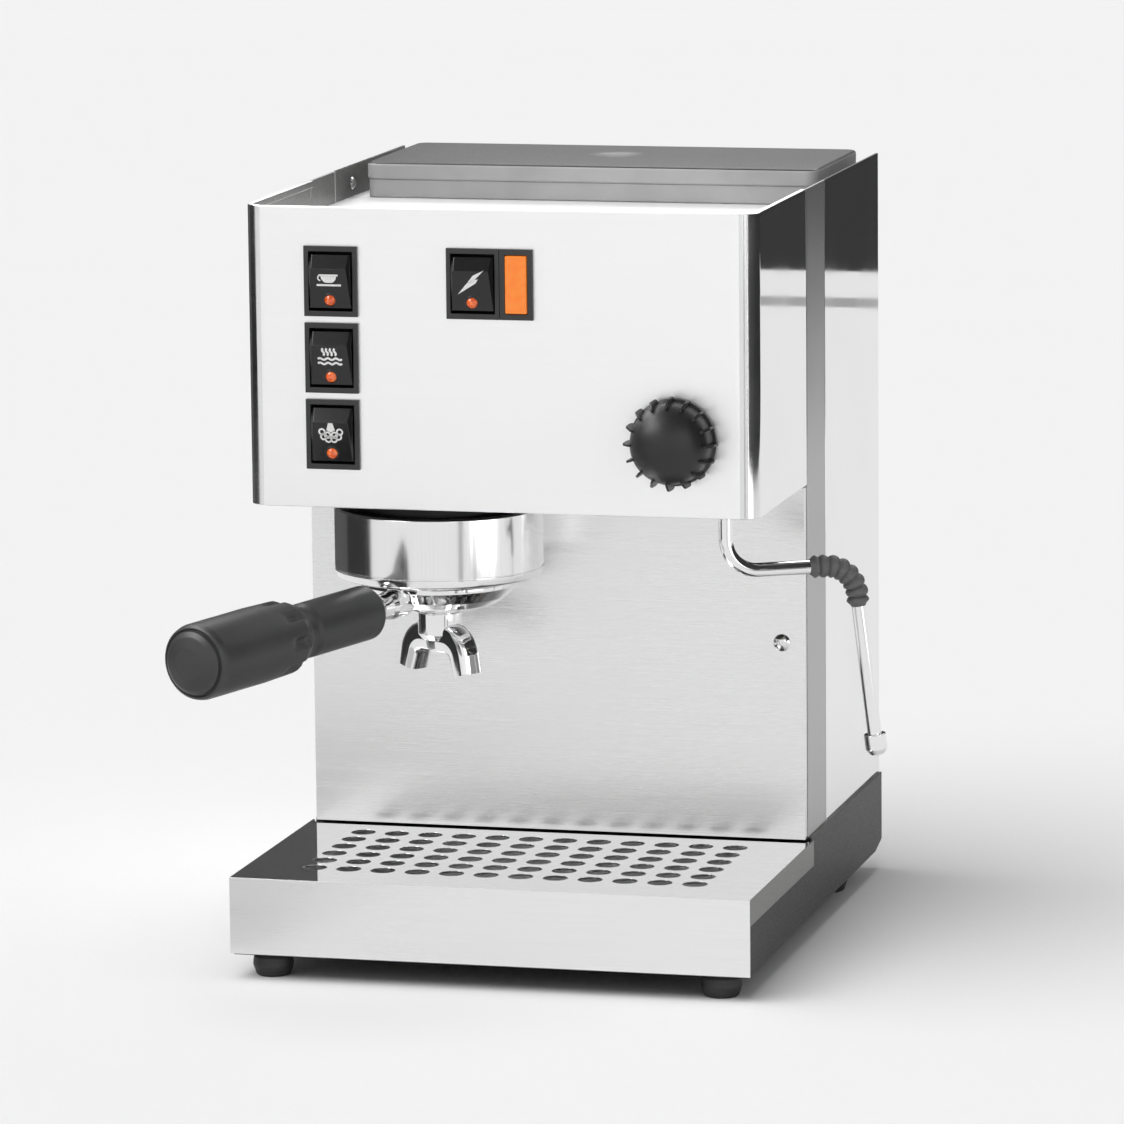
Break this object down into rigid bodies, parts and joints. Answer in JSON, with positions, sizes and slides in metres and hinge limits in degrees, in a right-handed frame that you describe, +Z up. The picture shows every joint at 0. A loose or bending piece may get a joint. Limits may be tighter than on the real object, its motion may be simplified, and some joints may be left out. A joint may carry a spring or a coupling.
{
  "type": "espresso machine",
  "caption": "Box-shaped stainless espresso machine with bayonet portafilter, steam wand, rocker switches, drip tray and rear water tank.",
  "frame": {"origin": "on the counter at the centre of the machine's footprint (casing and base, without portafilter and wand)", "axes": "+X to the user's right, +Y to the rear, +Z up; the user stands at -Y"},
  "size_m": [0.2835, 0.3964, 0.3495],
  "materials": {
    "painted_frame": "fine-textured powder coat",
    "rubber": "matt",
    "brushed_steel": "brushed",
    "mirror_steel": "mirror polished stainless",
    "polished_steel": "polished",
    "chrome": "bright plated",
    "brass": "machined",
    "black_plastic": "satin moulded",
    "gloss_black": "glossy moulded",
    "orange_lens": "translucent",
    "copper": "drawn copper",
    "clear_hose": "translucent silicone",
    "tank_plastic": "translucent",
    "lid_plastic": "fine grain moulded"
  },
  "bodies": {
    "chassis": {"base_frame": "painted_frame", "feet": "rubber", "splash_panel": "brushed_steel", "front_hood": "brushed_steel", "hood_floor": "painted_frame", "side_posts": "brushed_steel", "side_panels": "mirror_steel", "rear_panel": "brushed_steel", "cup_tray": "brushed_steel", "tank_collar": "brushed_steel", "partition": "brushed_steel", "case_screws": "polished_steel", "switch_bezels": "black_plastic", "lamp_lens": "orange_lens", "steam_valve": "brass", "gland_nut": "brass", "group_head": "chrome", "group_gasket": "rubber", "shower_holder": "brass", "shower_screen": "polished_steel", "shower_screw": "polished_steel", "tank_shelf": "brushed_steel", "boiler_lower": "polished_steel", "boiler_upper": "polished_steel", "boiler_bolts": "polished_steel", "heating_element": "polished_steel", "thermostats": "black_plastic", "pump_body": "black_plastic", "pump_coil": "copper", "solenoid_valve": "black_plastic", "water_hoses": "clear_hose", "copper_pipes": "copper", "power_inlet": "black_plastic"},
    "pan": {"drip_pan": "brushed_steel"},
    "cover": {"drip_cover": "mirror_steel"},
    "tank": {"water_tank": "tank_plastic", "tank_valve": "tank_plastic"},
    "lid": {"tank_lid": "lid_plastic", "tank_lid_frame": "lid_plastic"},
    "key_coffee": {"rocker_coffee": "gloss_black", "light_coffee": "orange_lens"},
    "key_water": {"rocker_water": "gloss_black", "light_water": "orange_lens"},
    "key_steam": {"rocker_steam": "gloss_black", "light_steam": "orange_lens"},
    "key_power": {"rocker_power": "gloss_black", "light_power": "orange_lens"},
    "needle": {"valve_needle": "polished_steel"},
    "knob": {"steam_knob": "gloss_black", "valve_stem": "polished_steel"},
    "wand": {"wand_pipe": "chrome", "wand_grip": "rubber", "wand_nozzle": "chrome"},
    "portafilter": {"portafilter_body": "chrome", "handle": "black_plastic", "handle_cap": "black_plastic", "filter_basket": "polished_steel", "basket_spring": "polished_steel", "spout": "chrome"}
  },
  "joints": [
    {"name": "pan_lift", "type": "slide", "parent": "chassis", "child": "pan", "axis": [0, 0, 1], "range_m": [0, 0.025]},
    {"name": "cover_lift", "type": "slide", "parent": "pan", "child": "cover", "axis": [0, 0, 1], "range_m": [0, 0.045]},
    {"name": "tank_lift", "type": "slide", "parent": "chassis", "child": "tank", "axis": [0, 0, 1], "range_m": [0, 0.25]},
    {"name": "lid_lift", "type": "slide", "parent": "tank", "child": "lid", "axis": [0, 0, 1], "range_m": [0, 0.06]},
    {"name": "coffee_key_tilt", "type": "hinge", "parent": "chassis", "child": "key_coffee", "pos_m": [-0.0768, -0.112, 0.3141], "axis": [-1, 0, 0], "range_deg": [0, 12]},
    {"name": "water_key_tilt", "type": "hinge", "parent": "chassis", "child": "key_water", "pos_m": [-0.0768, -0.112, 0.2796], "axis": [-1, 0, 0], "range_deg": [0, 12]},
    {"name": "steam_key_tilt", "type": "hinge", "parent": "chassis", "child": "key_steam", "pos_m": [-0.0768, -0.112, 0.2451], "axis": [-1, 0, 0], "range_deg": [0, 12]},
    {"name": "power_key_tilt", "type": "hinge", "parent": "chassis", "child": "key_power", "pos_m": [-0.0111, -0.112, 0.3143], "axis": [-1, 0, 0], "range_deg": [0, 12]},
    {"name": "needle_travel", "type": "slide", "parent": "chassis", "child": "needle", "axis": [0, -1, 0], "range_m": [0, 0.00226]},
    {"name": "knob_turn", "type": "hinge", "parent": "needle", "child": "knob", "pos_m": [0.0803, -0.13, 0.246], "axis": [0, -1, 0], "range_deg": [0, 540]},
    {"name": "wand_swing", "type": "hinge", "parent": "chassis", "child": "wand", "pos_m": [0.096, -0.086, 0.2], "axis": [0, 0, 1], "range_deg": [-120, 25]},
    {"name": "portafilter_turn", "type": "hinge", "parent": "chassis", "child": "portafilter", "pos_m": [-0.0425, -0.0664, 0.18], "axis": [0, 0, 1], "range_deg": [-42, 14]}
  ],
  "couplings": [
    {"joint": "needle_travel", "follows": "knob_turn", "m_per_rad": 0.00023873}
  ]
}
